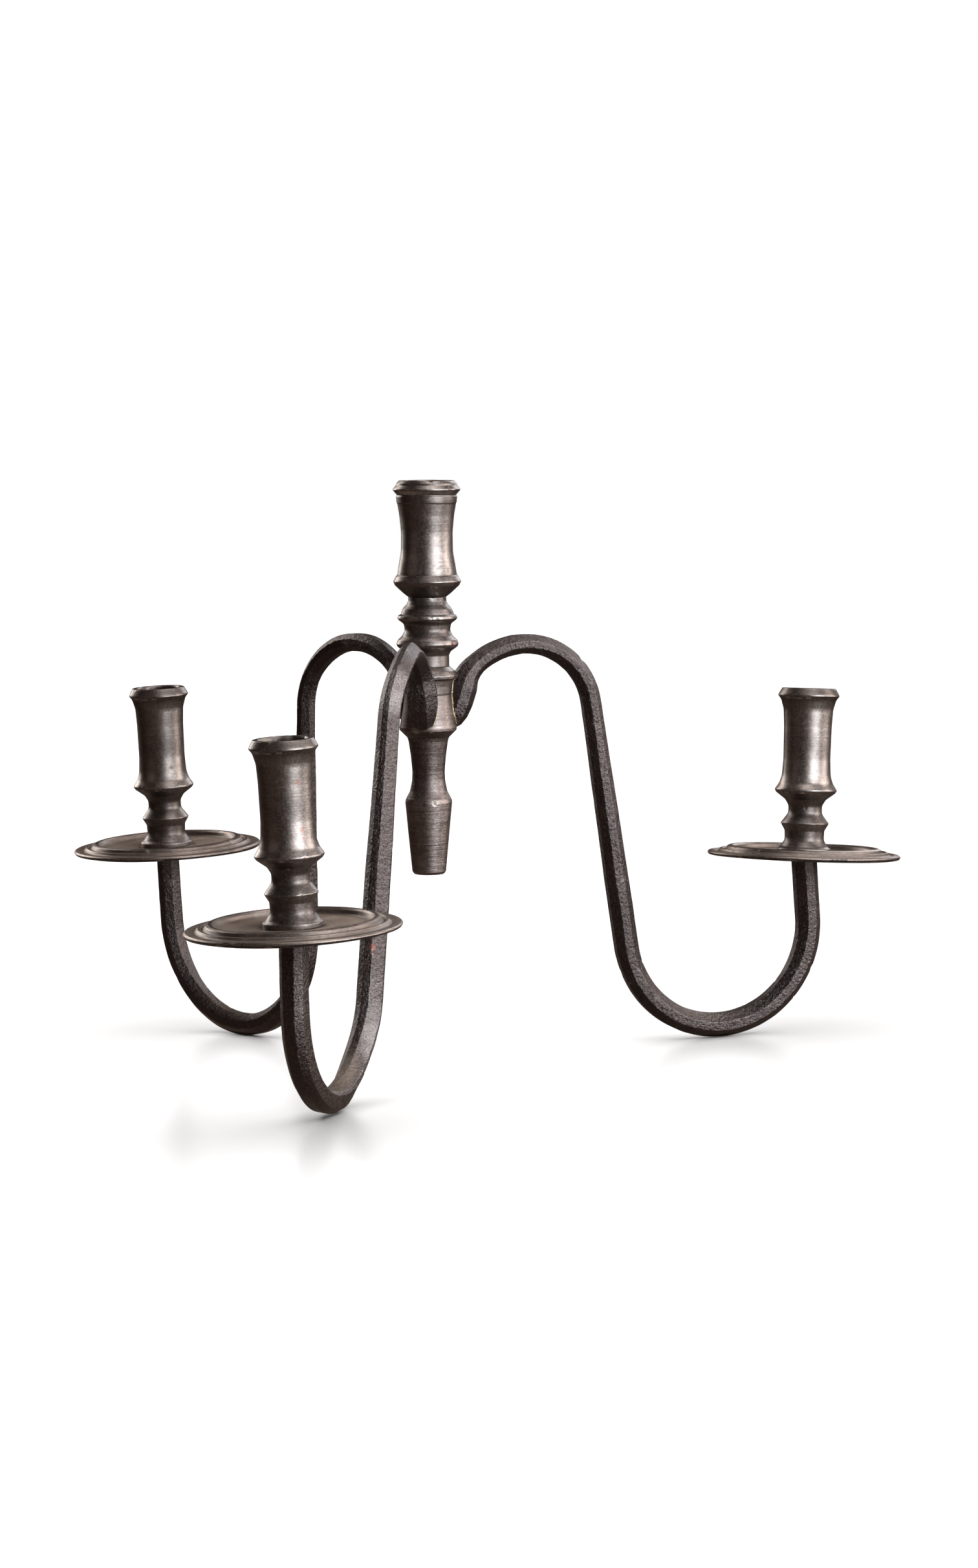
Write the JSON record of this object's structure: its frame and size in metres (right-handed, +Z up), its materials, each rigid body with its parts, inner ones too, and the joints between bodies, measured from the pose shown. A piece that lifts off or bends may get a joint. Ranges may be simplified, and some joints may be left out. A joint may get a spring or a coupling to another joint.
{
  "type": "candelabrum head",
  "caption": "Candelabrum head: a turned stem with a tapered plug below and a candle socket on top, and S-curved octagonal arms ending in drip pans and turned candle sockets.",
  "frame": {"origin": "centre of the flat lower end of the tapered plug, on the stem's axis", "axes": "+Z up along the stem's axis, +X out over the first arm (the one on the right in the picture)"},
  "size_m": [0.4231, 0.4488, 0.2978],
  "materials": {
    "turned_metal": "dark patinated brass or bronze, turned, satin with fine lathe lines",
    "cast_metal": "dark patinated cast brass or bronze, filed to eight flats, slightly rough",
    "pan_metal": "patinated brass or bronze, turned, dull and dusty",
    "braze_metal": "yellow brazing brass, tarnished",
    "stud_metal": "bare threaded brass"
  },
  "bodies": {
    "head": {"plug_stem": "turned_metal", "spool_cap": "turned_metal", "tie_rod": "stud_metal", "arm_1": "cast_metal", "arm_braze_1": "braze_metal", "arm_stud_1": "stud_metal", "arm_2": "cast_metal", "arm_braze_2": "braze_metal", "arm_stud_2": "stud_metal", "arm_3": "cast_metal", "arm_braze_3": "braze_metal", "arm_stud_3": "stud_metal"},
    "knop": {"centre_knop": "turned_metal"},
    "central_socket": {"central_candle_socket": "turned_metal"},
    "pan_1": {"drip_pan_1": "pan_metal"},
    "socket_1": {"candle_socket_1": "turned_metal"},
    "pan_2": {"drip_pan_2": "pan_metal"},
    "socket_2": {"candle_socket_2": "turned_metal"},
    "pan_3": {"drip_pan_3": "pan_metal"},
    "socket_3": {"candle_socket_3": "turned_metal"}
  },
  "joints": [
    {"name": "knop_lift", "type": "slide", "parent": "head", "child": "knop", "axis": [0, 0, 1], "range_m": [0, 0.009]},
    {"name": "central_socket_turn", "type": "hinge", "parent": "knop", "child": "central_socket", "pos_m": [0, 0, 0.15], "axis": [0, 0, 1], "range_deg": [0, 2165]},
    {"name": "pan_1_lift", "type": "slide", "parent": "head", "child": "pan_1", "axis": [0.0523, 0.047, 0.9975], "range_m": [0, 0.009]},
    {"name": "socket_1_turn", "type": "hinge", "parent": "pan_1", "child": "socket_1", "pos_m": [0.2053, 0, 0.0015], "axis": [0.0523, 0.047, 0.9975], "range_deg": [0, 2165]},
    {"name": "pan_2_lift", "type": "slide", "parent": "head", "child": "pan_2", "axis": [-0.0459, -0.0064, 0.9989], "range_m": [0, 0.009]},
    {"name": "socket_2_turn", "type": "hinge", "parent": "pan_2", "child": "socket_2", "pos_m": [-0.0939, 0.17885, -0.0013], "axis": [-0.0459, -0.0064, 0.9989], "range_deg": [0, 2165]},
    {"name": "pan_3_lift", "type": "slide", "parent": "head", "child": "pan_3", "axis": [-0.0474, -0.0011, 0.9989], "range_m": [0, 0.009]},
    {"name": "socket_3_turn", "type": "hinge", "parent": "pan_3", "child": "socket_3", "pos_m": [-0.11716, -0.1692, -0.0012], "axis": [-0.0474, -0.0011, 0.9989], "range_deg": [0, 2165]}
  ],
  "couplings": [
    {"joint": "central_socket_turn", "follows": "knop_lift", "rad_per_m": 4188.8},
    {"joint": "socket_1_turn", "follows": "pan_1_lift", "rad_per_m": 4188.8},
    {"joint": "socket_2_turn", "follows": "pan_2_lift", "rad_per_m": 4188.8},
    {"joint": "socket_3_turn", "follows": "pan_3_lift", "rad_per_m": 4188.8}
  ]
}
